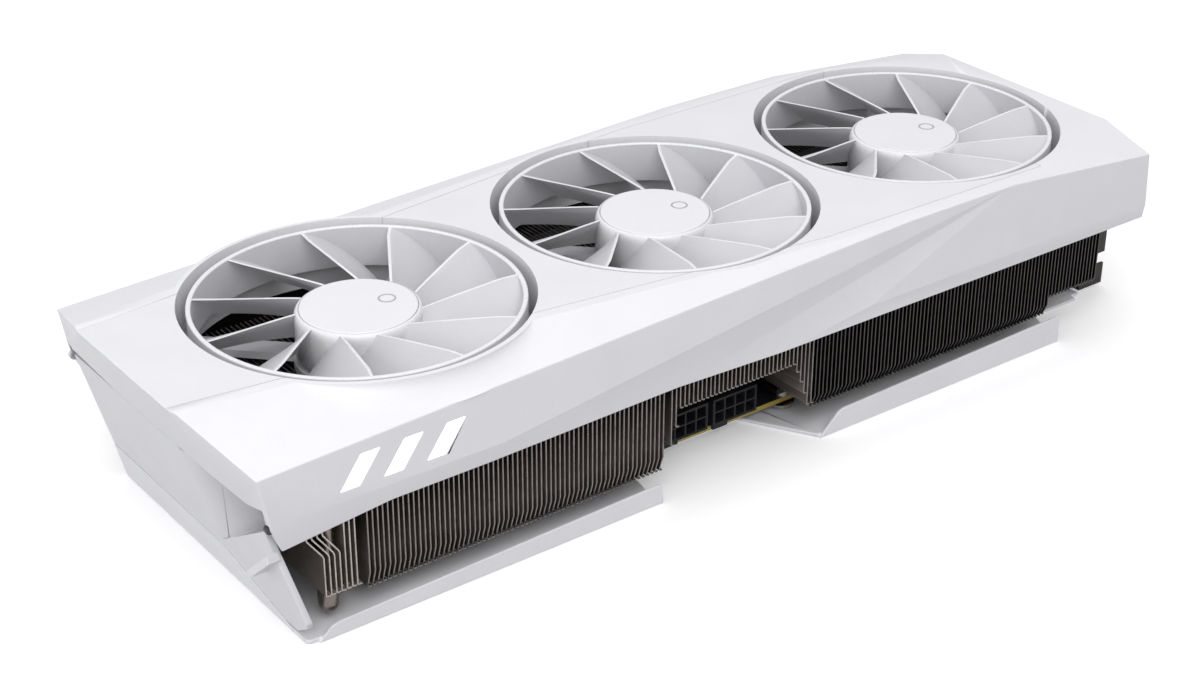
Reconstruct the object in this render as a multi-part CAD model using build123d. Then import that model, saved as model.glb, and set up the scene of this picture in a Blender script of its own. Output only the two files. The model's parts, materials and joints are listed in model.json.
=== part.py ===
from build123d import *
import math
import os

# Triple-fan graphics card, millimetres, +Z up, lying on its backplate with the
# fans facing up.  +X runs from the tail towards the I/O bracket, +Y towards the
# board's edge contacts.  Every solid is drawn about the axis of the tail fan
# with Z = 0 at the top of the fan rings, then moved so that the origin is the
# centre of the bottom of the whole card.

# ------------------------------------------------------------ driving sizes
FAN_PITCH = 108.3            # between fan axes
FANS = [0.0, FAN_PITCH, 2 * FAN_PITCH]
BORE_R = 51.7                # fan openings in the shroud
COLLAR_R = 53.2              # outside of each collar
COLLAR_BOT = -13.0
TOP_Z = 0.85                 # flat top of the shroud
SKIN = 2.0                   # wall thickness of the mouldings
EDGE_Y = 59.0                # long top edges of the shroud
WALL_Y = 60.3                # widest point of the side walls
WALL_BOT = -28.4
TAIL_X = -74.5
END_X = 273.0
SEAM_X = 225.2               # where the centre panel stops
SEAM_Y0, SEAM_Y1 = 26.6, 52.4
BP_BOT, BP_TOP = -67.4, -66.2        # backplate sheet
PCB_BOT, PCB_TOP = -63.6, -62.0      # circuit board
FIN_TOP = -22.2
FIN_PITCH, FIN_T = 1.64, 0.4
FIN_Y = 55.0
PIPE_R = 3.0
RING_RI, RING_RO, RING_H = 47.4, 48.9, 13.5
HUB_R = 18.8
BLADES = 11
PHASES = [13.5, 17.0, 16.6]  # angle of one blade tip of each fan, degrees
BRACKET_X0, BRACKET_X1 = 273.2, 274.2
TAB_Y = -36.0
TAB_X = 284.9
SLOT_PITCH = 20.32

parts = {}


# ------------------------------------------------------------ helpers
def box(x0, x1, y0, y1, z0, z1):
    return Pos((x0 + x1) / 2, (y0 + y1) / 2, (z0 + z1) / 2) * Box(x1 - x0, y1 - y0, z1 - z0)


def cyl(x, y, z0, z1, r):
    return Pos(x, y, (z0 + z1) / 2) * Cylinder(r, z1 - z0)


def tube(x, y, z0, z1, ro, ri):
    return cyl(x, y, z0, z1, ro) - cyl(x, y, z0 - 1, z1 + 1, ri)


def cylx(x0, x1, y, z, r):
    return Pos((x0 + x1) / 2, y, z) * Rot(0, 90, 0) * Cylinder(r, x1 - x0)


def cyly(y0, y1, x, z, r):
    return Pos(x, (y0 + y1) / 2, z) * Rot(90, 0, 0) * Cylinder(r, y1 - y0)


def prism_x(pts, x0, x1):
    """(y, z) polygon from x0 to x1."""
    pl = Plane(origin=(x0, 0, 0), x_dir=(0, 1, 0), z_dir=(1, 0, 0))
    return extrude(make_face(pl * Polyline(*pts, close=True)), x1 - x0, dir=(1, 0, 0))


def prism_y(pts, y0, y1):
    """(x, z) polygon from y0 to y1."""
    pl = Plane(origin=(0, y0, 0), x_dir=(1, 0, 0), z_dir=(0, -1, 0))
    return extrude(make_face(pl * Polyline(*pts, close=True)), y1 - y0, dir=(0, 1, 0))


def prism_z(pts, z0, z1):
    pl = Plane(origin=(0, 0, z0), x_dir=(1, 0, 0), z_dir=(0, 0, 1))
    return extrude(make_face(pl * Polyline(*pts, close=True)), z1 - z0, dir=(0, 0, 1))


def plane_of(a, b, c, inside, off=0.0):
    """Plane through three points with its normal away from inside, moved inwards by off."""
    a, b, c, inside = Vector(*a), Vector(*b), Vector(*c), Vector(*inside)
    n = (b - a).cross(c - a).normalized()
    if (inside - a).dot(n) > 0:
        n = n * -1
    return Plane(origin=a - n * off, z_dir=n)


def keep_below(obj, pl):
    return split(obj, bisect_by=pl, keep=Keep.BOTTOM)


def keep_above(obj, pl):
    return split(obj, bisect_by=pl, keep=Keep.TOP)


def join(items):
    items = list(items)
    return items[0].fuse(*items[1:]) if len(items) > 1 else items[0]


def group(items):
    out = []
    for it in items:
        out += list(it.solids())
    return Compound(children=out)


def mirror_y(p):
    return (p[0], -p[1], p[2])


# ------------------------------------------------------------ shroud
INSIDE = (100.0, 0.0, -15.0)
V = (207.4, -59.0, 0.85)                     # where the side creases meet
CORNER_T = (-66.7, -59.0, -8.2)              # tail corner of the top edge
CORNER_B = (-61.9, -60.5, -32.0)
END_A = (273.0, -38.4, 0.85)
END_B = (273.0, -59.0, -5.15)


def shroud_planes(off):
    """The flat faces of the shroud's outside, each moved inwards by off."""
    pl = []
    for s in (1, -1):
        f = (lambda p: p) if s == 1 else mirror_y
        # long side slope, from the crease beside the seam down to the edge
        pl.append(plane_of(f((-66.7, -59.0, -8.2)), f((162.7, -59.0, 0.85)), f((-73.5, -31.0, 0.85)), INSIDE, off))
        # corner facet at the bracket end
        pl.append(plane_of(f(V), f(END_A), f(END_B), INSIDE, off))
        # side wall, leaning out a little, then in again near its lower edge
        pl.append(plane_of(f((0, -59.0, 0)), f((100, -59.0, 0)), f((0, -60.3, -23.0)), INSIDE, off))
        pl.append(plane_of(f((0, -60.3, -23.0)), f((100, -60.3, -23.0)), f((0, -59.4, -29.0)), INSIDE, off))
        # tail face beyond the seam
        pl.append(plane_of(f((-74.5, -26.6, 0.85)), f(CORNER_T), f((-64.3, -59.9, -21.5)), INSIDE, off))
    pl.append(plane_of((-74.5, 0, 0.85), (-74.5, 10, 0.85), (-65.0, 0, -21.5), INSIDE, off))
    return pl


def groove(off):
    """Shallow V in the side wall, running down from V between two ridges."""
    r1 = (-27.0, -60.3, -28.7)               # first ridge at the lower edge
    r3 = (131.0, -60.2, -26.4)               # last ridge at the lower edge
    v2 = (77.0, -57.7, -27.2)                # valley at the lower edge
    out = []
    for s in (1, -1):
        f = (lambda p: p) if s == 1 else mirror_y
        b = box(-40, 210, -70, -50, -36, 2) if s == 1 else box(-40, 210, 50, 70, -36, 2)
        p1 = plane_of(f(V), f(r1), f(v2), INSIDE, off)
        p3 = plane_of(f(V), f(v2), f(r3), INSIDE, off)
        b = keep_above(b, p1)
        b = keep_above(b, p3)
        out.append(b)
    return out


def shroud_body(off, x0, x1, zb):
    b = box(x0, x1, -64, 64, zb, TOP_Z - off)
    for p in shroud_planes(off):
        b = keep_below(b, p)
    return b


outer = shroud_body(0.0, TAIL_X - 1, END_X, -34.0)
# the lower edge drops towards the tail
outer = outer - prism_y([(-27.0, WALL_BOT), (300, WALL_BOT), (300, -40), (-90, -40), (-90, -34.6), (-62.0, -32.2)], -70, 70)
inner = shroud_body(SKIN, TAIL_X, END_X - SKIN, -40.0)
for g in groove(0.0):
    outer = outer - g
for g in groove(SKIN):
    inner = inner - g
shell = outer - inner
# open tail under the overhang, open bracket end under its lip
shell = shell - box(-90, -56, -56.2, 56.2, -40, -21.5)
for s in (1, -1):
    shell = shell - prism_x([(-26.6 * s, -21.5), (-58.25 * s, -18.2), (-58.25 * s, -40.0), (-26.6 * s, -40.0)], -90, -56)
shell = shell - box(270, 280, -56.2, 56.2, -40, -6.9)
# collars stand proud of the slopes
for x in FANS:
    shell = shell + cyl(x, 0, COLLAR_BOT, TOP_Z, COLLAR_R)
for x in FANS:
    shell = shell - cyl(x, 0, -40, 10, BORE_R)

seam = [(-80.0, -(SEAM_Y0 - 0.66)), (133.0, -52.0), (SEAM_X, -53.4), (SEAM_X, 53.4), (133.0, 52.0), (-80.0, SEAM_Y0 - 0.66)]
seam_cut = [(-81.0, -(SEAM_Y0 - 0.46)), (133.0, -52.25), (SEAM_X + 0.25, -53.65), (SEAM_X + 0.25, 53.65), (133.0, 52.25), (-81.0, SEAM_Y0 - 0.46)]
PANEL_BOT = TOP_Z - SKIN
LOW_RING = -9.2
# the centre panel carries the collars: all of each below LOW_RING, and above
# that only the arcs inside the seams, so the panel is one moulding
collars = join([tube(x, 0, COLLAR_BOT, 5.0, COLLAR_R, BORE_R) for x in FANS])
collars_wide = join([tube(x, 0, COLLAR_BOT - 1, 6.0, COLLAR_R + 0.2, BORE_R - 0.5) for x in FANS])
all_top = shell + join([tube(x, 0, COLLAR_BOT, TOP_Z, COLLAR_R, BORE_R) for x in FANS])
low = box(-80, 280, -60, 60, COLLAR_BOT - 2, LOW_RING)
panel = (all_top & prism_z(seam, PANEL_BOT, 5)) + (all_top & collars & prism_z(seam, LOW_RING, 5)) + (collars & low)
low_wide = box(-80, 280, -60, 60, COLLAR_BOT - 2, LOW_RING + 0.2)
shell = all_top - prism_z(seam_cut, PANEL_BOT, 6) - (collars_wide & prism_z(seam_cut, LOW_RING, 6)) - (collars_wide & low_wide)
# sockets for the two screws inside the tail ends of the side walls
for s in (1, -1):
    shell = shell - cyly(min(-57.0 * s, -59.5 * s), max(-57.0 * s, -59.5 * s), -63.6, -24.0, 1.5)
# pockets for the lit bars in the near wall
BARS = [(-43.0, -33.0), (-29.5, -19.5), (-16.0, -6.0)]
bar_solids = []
for x0, x1 in BARS:
    para = [(x0, -20.0), (x0 + 6.0, -20.0), (x1 + 3.0, -11.0), (x1 - 3.0, -11.0)]
    cut = prism_y(para, -63, -56)
    bar_solids.append((cut & outer) & box(-60, 20, -63, -58.3, -25, -5))
    shell = shell - cut
parts["centre_panel"] = group([panel])
parts["shroud_shell"] = group([max(shell.solids(), key=lambda s: s.volume)])
print("shell solids", len(shell.solids()), [round(s.volume) for s in shell.solids()])
print("panel solids", len(panel.solids()), [round(s.volume) for s in panel.solids()])

parts["light_lenses"] = group(bar_solids)
parts["light_board"] = box(-46, -2, -57.4, -56.2, -21.5, -9.5)

# ------------------------------------------------------------ tail frame
# A leaning end panel, a pocket beside it closed by a wall that runs back to
# the side wall, and a lower facet with a small flange, all one moulding.
def between(obj, pts, inside, t):
    """The part of obj from the plane through pts to t further in."""
    return keep_above(keep_below(obj, plane_of(*pts, inside)), plane_of(*pts, inside, t))


IN_TAIL = (0.0, -30.0, -40.0)
lean = ((-65.1, 0.0, -21.5), (-65.1, 10.0, -21.5), (-53.2, 0.0, -65.8))
slab = prism_y([(-65.1, -21.5), (-53.2, -65.8), (-51.2, -65.8), (-63.1, -21.5)], -61.0, 56.0)
outline = [(54.5, -21.6), (-10.9, -21.6), (-14.6, -53.6), (-55.5, -26.2), (-56.5, -26.2), (-56.5, -34.0), (-59.6, -57.4),
           (-58.6, -59.4), (-50.0, -65.4), (-43.2, -65.4), (-15.2, -54.9), (54.5, -54.9)]
slab = slab & prism_x(outline, -80, -40)
back = ((-64.5, -11.6, -23.75), (-56.3, -14.7, -54.3), (-53.8, -57.9, -24.0))
pocket = prism_x([(-7.0, -22.4), (-10.5, -52.4), (-14.6, -54.6), (-36.6, -39.8), (-55.0, -27.2), (-57.6, -25.4), (-57.6, -14.5), (-34.0, -14.5), (-28.0, -22.4)], -68, -48)
pocket = keep_below(between(pocket, back, IN_TAIL, 1.4), plane_of(*lean, IN_TAIL))
ledge = prism_x([(-14.6, -53.6), (-55.5, -26.2), (-55.5, -27.9), (-14.6, -55.3)], -68, -48)
ledge = keep_above(keep_below(ledge, plane_of(*lean, IN_TAIL)), plane_of(*back, IN_TAIL, 1.2))
flange = prism_x([(-57.9, -32.4), (-44.6, -44.4), (-46.0, -46.0), (-57.9, -35.2)], -64.5, -50.0)
flange = keep_above(flange, plane_of(*lean, IN_TAIL, 1.0))
gusset = prism_x([(-5.0, -49.0), (-19.0, -50.5), (-28.0, -56.5), (-24.0, -58.5), (-5.0, -58.5)], -56.4, -52.5)
gusset = keep_below(gusset, plane_of(*lean, IN_TAIL, 1.0))
sill = prism_y([(-60.0, -55.05), (-54.5, -55.05), (-50.9, -67.6), (-60.0, -67.6)], -60, 60)
gusset = gusset - (sill & prism_x([(60.0, -67.6), (60.0, -55.05), (-14.9, -55.05), (-48.6, -67.6)], -62, -50))
tail_frame = slab.fuse(pocket, ledge, flange, gusset)
parts["tail_frame"] = group([tail_frame])
screws = []
for s in (1, -1):
    y0, y1 = sorted((-58.0 * s, -59.4 * s))
    h0, h1 = sorted((-57.5 * s, -58.5 * s))
    screws.append(cyly(y0, y1, -63.6, -24.0, 1.4) - cyly(h0, h1, -63.6, -24.0, 0.7))
parts["tail_screws"] = group(screws)
print("tail frame solids", len(tail_frame.solids()))

# ------------------------------------------------------------ fans
# A blade is a twisted sheet between its upper and lower edges, thickened
# downwards and trimmed between hub and ring.
def polar(r, deg, z):
    a = math.radians(deg)
    return (r * math.cos(a), r * math.sin(a), z)


def blade():
    rows = [   # radius, upper edge angle, z, middle angle, z, lower edge angle, z
        (50.0, 0.3, -0.5, -11.0, -5.2, -21.5, -13.4),
        (42.0, -0.6, -1.0, -12.6, -6.3, -24.6, -13.6),
        (30.0, -7.5, -2.2, -21.0, -8.2, -33.6, -14.2),
        (17.0, -20.5, -3.6, -35.0, -9.6, -49.0, -14.8),
    ]
    solids = []
    for a, b in zip(rows[:-1], rows[1:]):
        for i, j in ((1, 3), (3, 5)):
            e1 = Edge.make_line(polar(a[0], a[i], a[i + 1]), polar(b[0], b[i], b[i + 1]))
            e2 = Edge.make_line(polar(a[0], a[j], a[j + 1]), polar(b[0], b[j], b[j + 1]))
            f = Face.make_surface_from_curves(e1, e2)
            solids.append(Solid.extrude(f, Vector(0, 0, -1.3)))
    return join(solids)


one_blade = blade() & tube(0, 0, -20, 2, RING_RI + 0.4, HUB_R - 0.4)
hub = cyl(0, 0, -17.0, -3.2, HUB_R)
hub = fillet([e for e in hub.edges() if abs(e.center().Z + 3.2) < 0.01], 1.2)
hub = hub - cyl(0, 0, -18, -5.0, HUB_R - 1.6) - cyl(0, 0, -3.9, 0, 17.4)
ring = tube(0, 0, -RING_H, 0.0, RING_RO, RING_RI)
rotor0 = hub.fuse(ring, *[Rot(0, 0, 360.0 / BLADES * i) * one_blade for i in range(BLADES)])
print("rotor solids", len(rotor0.solids()), round(rotor0.volume))
cap0 = cyl(0, 0, -3.9, -2.9, 17.2)
cap0 = fillet([e for e in cap0.edges() if abs(e.center().Z + 2.9) < 0.01], 0.4)
magnet0 = tube(0, 0, -16.4, -5.0, HUB_R - 1.65, 15.4)
shaft0 = cyl(0, 0, -18.0, -5.0, 1.5)

# fixed half of each fan: outer ring, four arms, motor seat with a tube
base0 = tube(0, 0, -21.0, COLLAR_BOT, COLLAR_R, BORE_R) + cyl(0, 0, -21.0, -18.6, 19.5)
for a in (45, 135, 225, 315):
    base0 = base0 + Rot(0, 0, a) * box(17, 52.4, -3.5, 3.5, -21.0, -18.6)
base0 = base0 + tube(0, 0, -18.6, -8.5, 5.4, 4.0)
base0 = base0 - cyl(0, 0, -20.2, -10, 4.0)
bearing0 = tube(0, 0, -20.2, -8.5, 3.96, 1.55)
bearing0 = bearing0 + cyl(0, 0, -20.2, -18.4, 3.96)
stator0 = tube(0, 0, -15.8, -9.2, 6.6, 5.45)
for i in range(6):
    stator0 = stator0 + Rot(0, 0, 60 * i) * (box(6.0, 12.0, -1.4, 1.4, -14.5, -10.5) + box(11.2, 13.6, -4.6, 4.6, -15.2, -9.8))
stator0 = stator0 & tube(0, 0, -16, -9, 13.8, 5.45)

NAMES = ["tail", "middle", "bracket"]
for n, x, ph in zip(NAMES, FANS, PHASES):
    L = Pos(x, 0, 0)
    parts["fan_rotor_" + n] = group([L * Rot(0, 0, ph) * rotor0])
    parts["hub_cap_" + n] = group([L * cap0])
    parts["rotor_magnet_" + n] = group([L * magnet0])
    parts["rotor_shaft_" + n] = group([L * shaft0])
    parts["fan_base_" + n] = group([L * base0])
parts["fan_bearings"] = group([Pos(x, 0, 0) * bearing0 for x in FANS])
parts["motor_stators"] = group([Pos(x, 0, 0) * stator0 for x in FANS])

# ------------------------------------------------------------ heatsink
PIPES_LONG = [-15.0, -7.5, 0.0]              # run from the cold plate to the tail
PIPES_SHORT = [7.5, 15.0, 22.5]              # turn back over the board
PIPE_Z, PIPE_Z2 = -52.0, -33.5


def comb(x0, n, height_lo, height_hi, spine_y):
    """n upright fins in one polygon, joined by the folded tabs along a spine."""
    x_last = x0 + (n - 1) * FIN_PITCH + FIN_T
    near, far = [], []
    for i in range(n):
        a = x0 + i * FIN_PITCH
        b = a + FIN_T
        near += [(a, spine_y - 1.0), (a, -60.0), (b, -60.0), (b, spine_y - 1.0)]
        far += [(a, spine_y + 1.0), (a, 60.0), (b, 60.0), (b, spine_y + 1.0)]
    pts = near + far[::-1]
    return prism_z(pts, height_lo, height_hi), x_last


def stack(x0, n, profile, spine_y=38.0):
    c, x_last = comb(x0, n, -60.0, FIN_TOP, spine_y)
    return c & prism_x(profile, x0 - 1, x_last + 1), x_last


prof_tail = [(-FIN_Y, FIN_TOP), (-FIN_Y, -52.0), (-53.0, -58.2), (44.0, -58.2), (FIN_Y, -47.0), (FIN_Y, FIN_TOP)]
prof_mid = [(-FIN_Y, FIN_TOP), (-FIN_Y, -55.0), (-42.6, -55.0), (-42.6, -48.8), (FIN_Y, -48.8), (FIN_Y, FIN_TOP)]
prof_io = [(-FIN_Y, FIN_TOP), (-FIN_Y, -52.0), (-53.0, -56.6), (-42.6, -56.6), (-42.6, -48.8), (FIN_Y, -48.8), (FIN_Y, FIN_TOP)]
prof_end = [(-FIN_Y, FIN_TOP), (-FIN_Y, -48.5), (-53.6, -50.5), (-42.6, -50.5), (-42.6, -48.8), (FIN_Y, -48.8), (FIN_Y, FIN_TOP)]

fins_a, xa = stack(-32.7, 63, prof_tail)
fins_b, xb = stack(71.9, 35, prof_mid)
fins_e, xe = stack(71.9 + 2 * FIN_PITCH, 29, prof_mid)
fins_b = fins_b - box(71.9 + 2 * FIN_PITCH - 0.6, 71.9 + 31 * FIN_PITCH - 0.6, -60, 60, -60, -20)
step = [(60, -60), (60, -49.6), (72.5, -49.6), (72.5, -43.8), (74.2, -43.8), (74.2, -37.8), (121.0, -37.8),
        (121.0, -41.0), (122.7, -41.0), (122.7, -45.0), (124.3, -45.0), (124.3, -49.5), (126.0, -49.5), (126.0, -54.0), (140, -54.0), (140, -60)]
fins_b = fins_b - prism_y(step, -70, 70)
fins_e = fins_e - prism_y(step, -70, 70)
fins_c, xc = stack(129.3, 65, prof_io)
fins_d, xd = stack(129.3 + 65 * FIN_PITCH, 14, prof_end)
print("fin groups end at", xa, xb, xc, xd)
for y in PIPES_LONG:
    c = cylx(-60, 240, y, PIPE_Z, PIPE_R + 0.1)
    fins_a = fins_a - c
for y in PIPES_SHORT:
    c = cylx(60, 262, y, PIPE_Z2, PIPE_R + 0.1)
    fins_c = fins_c - c
    fins_d = fins_d - c
    fins_b = fins_b - c
    fins_e = fins_e - c
parts["fin_stack_tail"] = group([fins_a])
parts["fin_stack_middle"] = group([fins_b])
parts["fin_stack_inlets"] = group([fins_e])
parts["fin_stack_board"] = group([fins_c])
parts["fin_stack_bracket"] = group([fins_d])
for n in ("fin_stack_tail", "fin_stack_middle", "fin_stack_inlets", "fin_stack_board", "fin_stack_bracket"):
    print(n, "solids", len(parts[n].solids()))

# short cranked fins at the tail, which step aside for an upright pipe
T = FIN_T
cranked = []
for i in range(4):
    x_up, x_lo = -51.6 + i * 1.64, -46.6 + i * 1.64
    pts = [(x_up, FIN_TOP), (x_up, -34.5), (x_lo, -42.0), (x_lo, -54.6), (x_lo + T, -54.6), (x_lo + T, -41.8), (x_up + T, -34.3), (x_up + T, FIN_TOP)]
    cranked.append(prism_y(pts, -FIN_Y, 44.0))
for i in range(3):
    x = -40.0 + i * 1.64
    cranked.append(box(x, x + T, -FIN_Y, 44.0, -54.6, FIN_TOP))
tabs = box(-46.6, -36.4, 30.0, 33.0, -54.6, -53.0)
tail_fins = cranked[0].fuse(*cranked[1:], tabs)
for y in PIPES_LONG:
    tail_fins = tail_fins - cylx(-60, 0, y, PIPE_Z, PIPE_R + 0.1)
UP_X, UP_Y = -42.9, -49.5
tail_fins = tail_fins - cyl(UP_X, UP_Y, -56.0, -20.0, PIPE_R + 0.15)
parts["fin_stack_cranked"] = group([tail_fins])
print("cranked", len(tail_fins.solids()))

pipes = []
for y in PIPES_LONG:
    pipes.append(cylx(-48.0, 205.0, y, PIPE_Z, PIPE_R) + Pos(-48.0, y, PIPE_Z) * Sphere(PIPE_R) + Pos(205.0, y, PIPE_Z) * Sphere(PIPE_R))
for y in PIPES_SHORT:
    rise = (PIPE_Z2 - PIPE_Z) / 2
    path = Line((140, y, PIPE_Z), (258.0, y, PIPE_Z)) + ThreePointArc((258.0, y, PIPE_Z), (258.0 + rise, y, PIPE_Z + rise), (258.0, y, PIPE_Z2)) + Line((258.0, y, PIPE_Z2), (76.0, y, PIPE_Z2))
    pipes.append(sweep(Plane(origin=(140, y, PIPE_Z), z_dir=(1, 0, 0)) * Circle(PIPE_R), path=path))
up = cyl(UP_X, UP_Y, -60.2, FIN_TOP - 0.4, PIPE_R) + Pos(UP_X, UP_Y, -60.2) * Sphere(PIPE_R)
pipes.append(up)
parts["heat_pipes"] = group(pipes)
print("pipes", len(parts["heat_pipes"].solids()))

GPU_X, GPU_Y = 172.0, 4.0
DIE_TOP = -60.3
plate = box(GPU_X - 30, GPU_X + 30, -20, 28, DIE_TOP, -55.1)
parts["cold_plate"] = plate
frame_plate = box(128, 254, -39, 52, -58.3, -56.3) - box(GPU_X - 30.2, GPU_X + 30.2, -20.2, 28.2, -60, -50)
for sx in (-1, 1):
    for sy in (-1, 1):
        frame_plate = frame_plate - cyl(GPU_X + 37.5 * sx, GPU_Y + 37.5 * sy, -60, -50, 1.6)
parts["heatsink_frame"] = frame_plate

# ------------------------------------------------------------ board
pcb = prism_z([(66, -36.3), (236.0, -36.3), (240.0, -34.0), (271.0, -34.0), (271.0, 67.75), (229.0, 67.75), (229.0, 76.0), (217.4, 76.0), (217.4, 68.6), (215.5, 68.6),
               (215.5, 76.0), (143.9, 76.0), (143.9, 67.75), (66, 67.75)], PCB_BOT, PCB_TOP)
HOLES = [(69.6, -30), (72, 61), (266, -30), (266, 61), (126, -30), (126, 61)]
GPU_HOLES = [(GPU_X + sx * 37.5, GPU_Y + sy * 37.5) for sx in (-1, 1) for sy in (-1, 1)]
for x, y in HOLES:
    pcb = pcb - cyl(x, y, PCB_BOT - 1, PCB_TOP + 1, 1.7)
for x, y in GPU_HOLES:
    pcb = pcb - cyl(x, y, PCB_BOT - 1, PCB_TOP + 1, 1.7)
parts["circuit_board"] = group([pcb])
contacts = []
for i in range(71):
    x = 144.6 + i * 1.0
    contacts.append(box(x, x + 0.7, 70.4, 75.4, PCB_TOP, PCB_TOP + 0.05))
for i in range(11):
    x = 218.1 + i * 1.0
    contacts.append(box(x, x + 0.7, 70.4, 75.4, PCB_TOP, PCB_TOP + 0.05))
parts["edge_contacts"] = group(contacts)
parts["gpu_package"] = box(GPU_X - 20, GPU_X + 20, GPU_Y - 20, GPU_Y + 20, PCB_TOP, -61.1)
parts["gpu_die"] = box(GPU_X - 9, GPU_X + 9, GPU_Y - 10, GPU_Y + 10, -61.1, DIE_TOP)
MEM = [(GPU_X - 40, -16), (GPU_X - 40, 4), (GPU_X - 40, 24), (GPU_X - 14, -28), (GPU_X + 6, -28), (GPU_X + 38, -16), (GPU_X + 38, 4), (GPU_X + 38, 24)]
parts["memory_chips"] = group([box(x - 6, x + 6, y - 7, y + 7, PCB_TOP, -60.9) for x, y in MEM])
parts["memory_pads"] = group([box(x - 5.5, x + 5.5, y - 6.5, y + 6.5, -60.9, -58.3) for x, y in MEM if abs(x - GPU_X) > 34])
CHOKES = [(96 + 9.0 * (i // 2), -18 + 58 * (i % 2)) for i in range(6)] + [(224 + 8.6 * (i % 4), 44.0) for i in range(4)]
chokes = [box(x - 3.6, x + 3.6, y - 3.6, y + 3.6, PCB_TOP, -58.6) for x, y in CHOKES]
parts["chokes"] = group([fillet(c.edges().filter_by(Axis.Z), 1.0) for c in chokes])
parts["power_stages"] = group([box(x - 2.6, x + 2.6, y + 5.0, y + 9.6, PCB_TOP, -61.1) for x, y in CHOKES])
CAPS = [(80 + 9.0 * (i % 5), 6.0 + 14.0 * (i // 5)) for i in range(10)] + [(84 + 9.0 * i, 58.0) for i in range(4)]
parts["capacitors"] = group([cyl(x, y, PCB_TOP, -56.6, 3.1) for x, y in CAPS])


def power_header(xc):
    """Right-angle eight-way power inlet, mouth towards -Y."""
    y0, y1, z0, z1 = -37.5, -24.6, PCB_TOP, -52.4
    b = box(xc - 9.0, xc + 9.0, y0, y1, z0, z1)
    b = b + box(xc - 9.0, xc - 3.0, y0, -36.6, z0 - 1.1, z0)
    b = b + box(xc - 2.0, xc + 2.0, y0 + 2.0, y1 - 3.0, z1, z1 + 1.2)
    pins = []
    for i in range(4):
        for j in range(2):
            cx, cz = xc - 6.3 + 4.2 * i, z0 + 2.7 + 4.2 * j
            b = b - box(cx - 1.75, cx + 1.75, y0 - 1, y1 - 2.2, cz - 1.75, cz + 1.75)
            pins.append(box(cx - 0.5, cx + 0.5, y0 + 4.0, y1 - 2.2, cz - 0.5, cz + 0.5))
    return b, pins


PLUG_X = [92.0, 112.0]
hdr_a, pins_a = power_header(PLUG_X[0])
hdr_b, pins_b = power_header(PLUG_X[1])
parts["power_inlet_tail"] = group([hdr_a])
parts["power_inlet_bracket"] = group([hdr_b])
parts["power_pins"] = group(pins_a + pins_b)
parts["fan_header"] = box(240, 250, 56, 61, PCB_TOP, -56.0) - box(241, 249, 57, 60, -60.5, -50)

# display sockets sit on the board with their mouths in the bracket
SOCK_X0 = 256.0
SOCKETS = [("dp", -18.0), ("dp", 3.0), ("dp", 24.0)]


def dp_socket(yc):
    prof = [(yc - 8.9, -61.9), (yc + 8.9, -61.9), (yc + 8.9, -55.2), (yc - 8.9, -55.2)]
    holl = [(yc - 8.1, -61.1), (yc + 8.1, -61.1), (yc + 8.1, -57.7), (yc + 6.4, -56.0), (yc - 8.1, -56.0)]
    b = prism_x(prof, SOCK_X0, BRACKET_X1) - prism_x(holl, SOCK_X0 + 6, BRACKET_X1 + 1)
    return b + box(SOCK_X0 + 6, BRACKET_X1 - 3.5, yc - 5.6, yc + 5.6, -57.6, -57.0)


parts["displayport_sockets"] = group([dp_socket(y) for _, y in SOCKETS])
yc = 46.0
hd = prism_x([(yc - 7.7, -61.9), (yc + 7.7, -61.9), (yc + 7.7, -55.0), (yc - 7.7, -55.0)], SOCK_X0, BRACKET_X1)
hd = hd - prism_x([(yc - 7.0, -56.3), (yc - 7.0, -58.8), (yc - 5.0, -61.1), (yc + 5.0, -61.1), (yc + 7.0, -58.8), (yc + 7.0, -56.3)], SOCK_X0 + 6, BRACKET_X1 + 1)
hd = hd + box(SOCK_X0 + 6, BRACKET_X1 - 3.5, yc - 5.0, yc + 5.0, -57.6, -57.0)
parts["hdmi_socket"] = group([hd])

# ------------------------------------------------------------ bracket
br = box(BRACKET_X0, BRACKET_X1, TAB_Y, 76.0, -66.0, -27.0) + box(BRACKET_X0, BRACKET_X1, TAB_Y, 60.0, -27.0, -7.4)
for i in range(2):
    z = -61.0 + i * SLOT_PITCH
    br = br + box(BRACKET_X0, BRACKET_X1, 75.0, 84.0, z - 1.0, z + 9.2)
br = br + box(BRACKET_X0, TAB_X, TAB_Y, TAB_Y + 1.0, -66.0, -7.4)
NOTCH_Z = [-55.9 + i * SLOT_PITCH for i in range(3)]
for z in NOTCH_Z:
    br = br - box(TAB_X - 3.8, TAB_X + 1, TAB_Y - 1, TAB_Y + 2, z - 2.2, z + 2.2) - cyly(TAB_Y - 1, TAB_Y + 2, TAB_X - 3.8, z, 2.2)
for _, y in SOCKETS:
    br = br - box(BRACKET_X0 - 1, BRACKET_X1 + 1, y - 9.1, y + 9.1, -62.1, -55.0)
br = br - box(BRACKET_X0 - 1, BRACKET_X1 + 1, 46 - 7.9, 46 + 7.9, -62.1, -54.8)
for r in range(3):
    for c in range(9):
        y = -24.0 + c * 11.0
        z = -46.5 + r * 13.5
        br = br - box(BRACKET_X0 - 1, BRACKET_X1 + 1, y - 4.2, y + 4.2, z, z + 9.0)
lug = box(266.0, BRACKET_X0, 59.0, 66.0, PCB_TOP, -61.0) + box(266.0, BRACKET_X0, -35.0, -28.5, PCB_TOP, -61.0)
lug = lug + box(BRACKET_X0 - 1.0, BRACKET_X0, 59.0, 66.0, PCB_TOP, -52.0) + box(BRACKET_X0 - 1.0, BRACKET_X0, -35.0, -28.5, PCB_TOP, -52.0)
br = br + lug
for x, y in ((269.0, 62.5), (269.0, -31.7)):
    br = br - cyl(x, y, -63, -60, 1.3)
parts["io_bracket"] = group([br])
print("bracket solids", len(br.solids()))

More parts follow.
